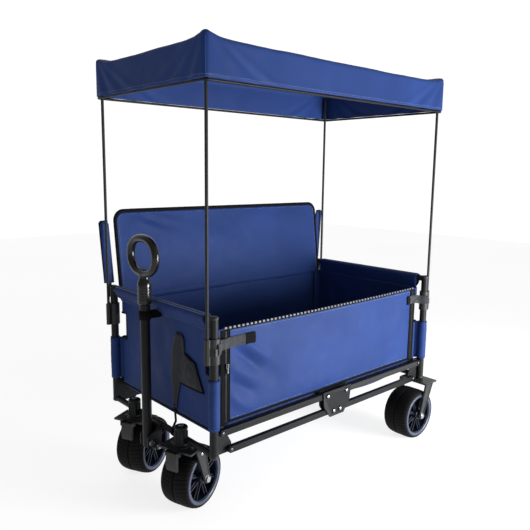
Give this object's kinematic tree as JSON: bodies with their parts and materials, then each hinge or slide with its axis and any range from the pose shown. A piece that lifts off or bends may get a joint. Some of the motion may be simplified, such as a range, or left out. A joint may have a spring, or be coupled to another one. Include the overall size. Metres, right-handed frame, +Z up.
{
  "type": "beach cart",
  "caption": "Folding four-wheeled beach cart with a fabric basket, drop side, raised backrest, pull handle and a canopy on poles.",
  "frame": {"origin": "on the ground under the middle of the cart's overall box", "axes": "+Z up; +X from the pulling end to the rear end; -Y is the side that drops open, +Y the backrest side"},
  "size_m": [1.0624, 0.654, 1.288],
  "materials": {
    "black_frame": "semi-gloss powder coat",
    "bright_fastener": "zinc-plated",
    "blue_fabric": "royal-blue woven oxford cloth",
    "black_webbing": "black webbing and binding",
    "pocket_mesh": "dark mesh",
    "clip_plastic": "moulded, lightly textured",
    "grip_plastic": "smooth, glossy",
    "fork_plastic": "dark grey moulded",
    "rim_plastic": "navy moulded with a grey-blue ring",
    "tyre_rubber": "fine ribbed tread"
  },
  "bodies": {
    "front_frame": {"front_end_frame": "black_frame", "front_wall": "blue_fabric", "front_pocket": "pocket_mesh", "far_wall": "blue_fabric", "backrest_panel": "blue_fabric", "backrest_trim": "black_webbing", "backrest_upright_front": "blue_fabric", "handle_bracket": "black_frame", "handle_pivot_bolt": "bright_fastener", "handle_strap": "black_webbing", "pole_clip_front_near": "clip_plastic", "pole_clip_front_far": "clip_plastic"},
    "near_side": {"near_drop_side": "blue_fabric", "near_strap_front": "black_webbing", "near_strap_rear": "black_webbing"},
    "lower_front_links": {"lower_link_front_near": "black_frame", "lower_link_front_far": "black_frame"},
    "upper_front_links": {"upper_link_front_near": "black_frame", "upper_link_front_far": "black_frame", "front_floor": "blue_fabric"},
    "fold_hubs": {"fold_hub_near": "black_frame", "fold_hub_far": "black_frame", "hub_cross_rod": "black_frame"},
    "lower_rear_links": {"lower_link_rear_near": "black_frame", "lower_link_rear_far": "black_frame"},
    "upper_rear_links": {"upper_link_rear_near": "black_frame", "upper_link_rear_far": "black_frame", "rear_floor": "blue_fabric"},
    "rear_frame": {"rear_end_frame": "black_frame", "rear_wall": "blue_fabric", "backrest_upright_rear": "blue_fabric", "rear_fork_near": "fork_plastic", "rear_fork_far": "fork_plastic", "axle_bolt_rear_near": "bright_fastener", "axle_bolt_rear_far": "bright_fastener", "pole_clip_rear_near": "clip_plastic", "pole_clip_rear_far": "clip_plastic"},
    "handle": {"handle_outer_tube": "black_frame"},
    "handle_slider": {"handle_inner_tube": "black_frame", "handle_grip": "grip_plastic"},
    "canopy": {"canopy_frame": "black_frame", "canopy_cover": "blue_fabric"},
    "caster_near": {"caster_fork_near": "fork_plastic", "axle_bolt_front_near": "bright_fastener"},
    "brake_near": {"brake_pedal_near": "clip_plastic"},
    "caster_far": {"caster_fork_far": "fork_plastic", "axle_bolt_front_far": "bright_fastener"},
    "brake_far": {"brake_pedal_far": "clip_plastic"},
    "wheel_front_near": {"tyre_front_near": "tyre_rubber", "rim_front_near": "rim_plastic"},
    "pole_front_near": {"canopy_pole_front_near": "black_frame"},
    "wheel_front_far": {"tyre_front_far": "tyre_rubber", "rim_front_far": "rim_plastic"},
    "pole_front_far": {"canopy_pole_front_far": "black_frame"},
    "wheel_rear_near": {"tyre_rear_near": "tyre_rubber", "rim_rear_near": "rim_plastic"},
    "pole_rear_near": {"canopy_pole_rear_near": "black_frame"},
    "wheel_rear_far": {"tyre_rear_far": "tyre_rubber", "rim_rear_far": "rim_plastic"},
    "pole_rear_far": {"canopy_pole_rear_far": "black_frame"}
  },
  "joints": [
    {"name": "fold", "type": "hinge", "parent": "front_frame", "child": "lower_front_links", "pos_m": [-0.41179, 0, 0.216], "axis": [0, -1, 0], "range_deg": [0, 75], "deforming": ["near_drop_side", "near_strap_front", "near_strap_rear", "far_wall", "backrest_panel", "backrest_trim"]},
    {"name": "hub_level", "type": "hinge", "parent": "lower_front_links", "child": "fold_hubs", "pos_m": [0.00021, 0, 0.216], "axis": [0, 1, 0], "range_deg": [0, 75]},
    {"name": "lower_rear_fold", "type": "hinge", "parent": "fold_hubs", "child": "lower_rear_links", "pos_m": [0.03021, 0, 0.216], "axis": [0, 1, 0], "range_deg": [0, 75]},
    {"name": "rear_frame_level", "type": "hinge", "parent": "lower_rear_links", "child": "rear_frame", "pos_m": [0.44221, 0, 0.216], "axis": [0, -1, 0], "range_deg": [0, 75]},
    {"name": "upper_front_fold", "type": "hinge", "parent": "front_frame", "child": "upper_front_links", "pos_m": [-0.44079, 0, 0.27], "axis": [0, -1, 0], "range_deg": [0, 75]},
    {"name": "upper_rear_fold", "type": "hinge", "parent": "fold_hubs", "child": "upper_rear_links", "pos_m": [0.05921, 0, 0.27], "axis": [0, 1, 0], "range_deg": [0, 75]},
    {"name": "near_side_drop", "type": "hinge", "parent": "front_frame", "child": "near_side", "pos_m": [0.01521, -0.267, 0.281], "axis": [1, 0, 0], "range_deg": [0, 160]},
    {"name": "swivel_near", "type": "hinge", "parent": "front_frame", "child": "caster_near", "pos_m": [-0.47679, -0.129, 0.2], "axis": [0, 0, 1], "continuous": true},
    {"name": "brake_near_press", "type": "hinge", "parent": "caster_near", "child": "brake_near", "pos_m": [-0.51483, -0.14136, 0.187], "axis": [0.309, -0.9511, 0], "range_deg": [0, 8]},
    {"name": "spin_front_near", "type": "hinge", "parent": "caster_near", "child": "wheel_front_near", "pos_m": [-0.43304, -0.11479, 0.089], "axis": [-0.309, 0.9511, 0], "continuous": true},
    {"name": "spin_rear_near", "type": "hinge", "parent": "rear_frame", "child": "wheel_rear_near", "pos_m": [0.43621, -0.263, 0.089], "axis": [0, 1, 0], "continuous": true},
    {"name": "swivel_far", "type": "hinge", "parent": "front_frame", "child": "caster_far", "pos_m": [-0.47679, 0.129, 0.2], "axis": [0, 0, 1], "continuous": true},
    {"name": "brake_far_press", "type": "hinge", "parent": "caster_far", "child": "brake_far", "pos_m": [-0.51274, 0.11147, 0.187], "axis": [0.4384, -0.8988, 0], "range_deg": [0, 8]},
    {"name": "spin_front_far", "type": "hinge", "parent": "caster_far", "child": "wheel_front_far", "pos_m": [-0.43544, 0.14917, 0.089], "axis": [-0.4384, 0.8988, 0], "continuous": true},
    {"name": "spin_rear_far", "type": "hinge", "parent": "rear_frame", "child": "wheel_rear_far", "pos_m": [0.43621, 0.263, 0.089], "axis": [0, 1, 0], "continuous": true},
    {"name": "handle_tilt", "type": "hinge", "parent": "front_frame", "child": "handle", "pos_m": [-0.50879, 0, 0.175], "axis": [0, -1, 0], "range_deg": [0, 95], "deforming": ["handle_strap"]},
    {"name": "handle_extend", "type": "slide", "parent": "handle", "child": "handle_slider", "axis": [0, 0, 1], "range_m": [0, 0.3]},
    {"name": "canopy_lift", "type": "slide", "parent": "front_frame", "child": "canopy", "axis": [0, 0, 1], "range_m": [0, 0.3]},
    {"name": "pole_front_near_lift", "type": "slide", "parent": "front_frame", "child": "pole_front_near", "axis": [0, 0, 1], "range_m": [0, 0.075]},
    {"name": "pole_front_far_lift", "type": "slide", "parent": "front_frame", "child": "pole_front_far", "axis": [0, 0, 1], "range_m": [0, 0.075]},
    {"name": "pole_rear_near_lift", "type": "slide", "parent": "rear_frame", "child": "pole_rear_near", "axis": [0, 0, 1], "range_m": [0, 0.075]},
    {"name": "pole_rear_far_lift", "type": "slide", "parent": "rear_frame", "child": "pole_rear_far", "axis": [0, 0, 1], "range_m": [0, 0.075]}
  ],
  "couplings": [
    {"joint": "hub_level", "follows": "fold", "ratio": 1},
    {"joint": "lower_rear_fold", "follows": "fold", "ratio": 1},
    {"joint": "rear_frame_level", "follows": "fold", "ratio": 1},
    {"joint": "upper_front_fold", "follows": "fold", "ratio": 1},
    {"joint": "upper_rear_fold", "follows": "fold", "ratio": 1},
    {"joint": "pole_front_near_lift", "follows": "canopy_lift", "ratio": 0.25},
    {"joint": "pole_front_far_lift", "follows": "canopy_lift", "ratio": 0.25},
    {"joint": "pole_rear_near_lift", "follows": "canopy_lift", "ratio": 0.25},
    {"joint": "pole_rear_far_lift", "follows": "canopy_lift", "ratio": 0.25}
  ]
}
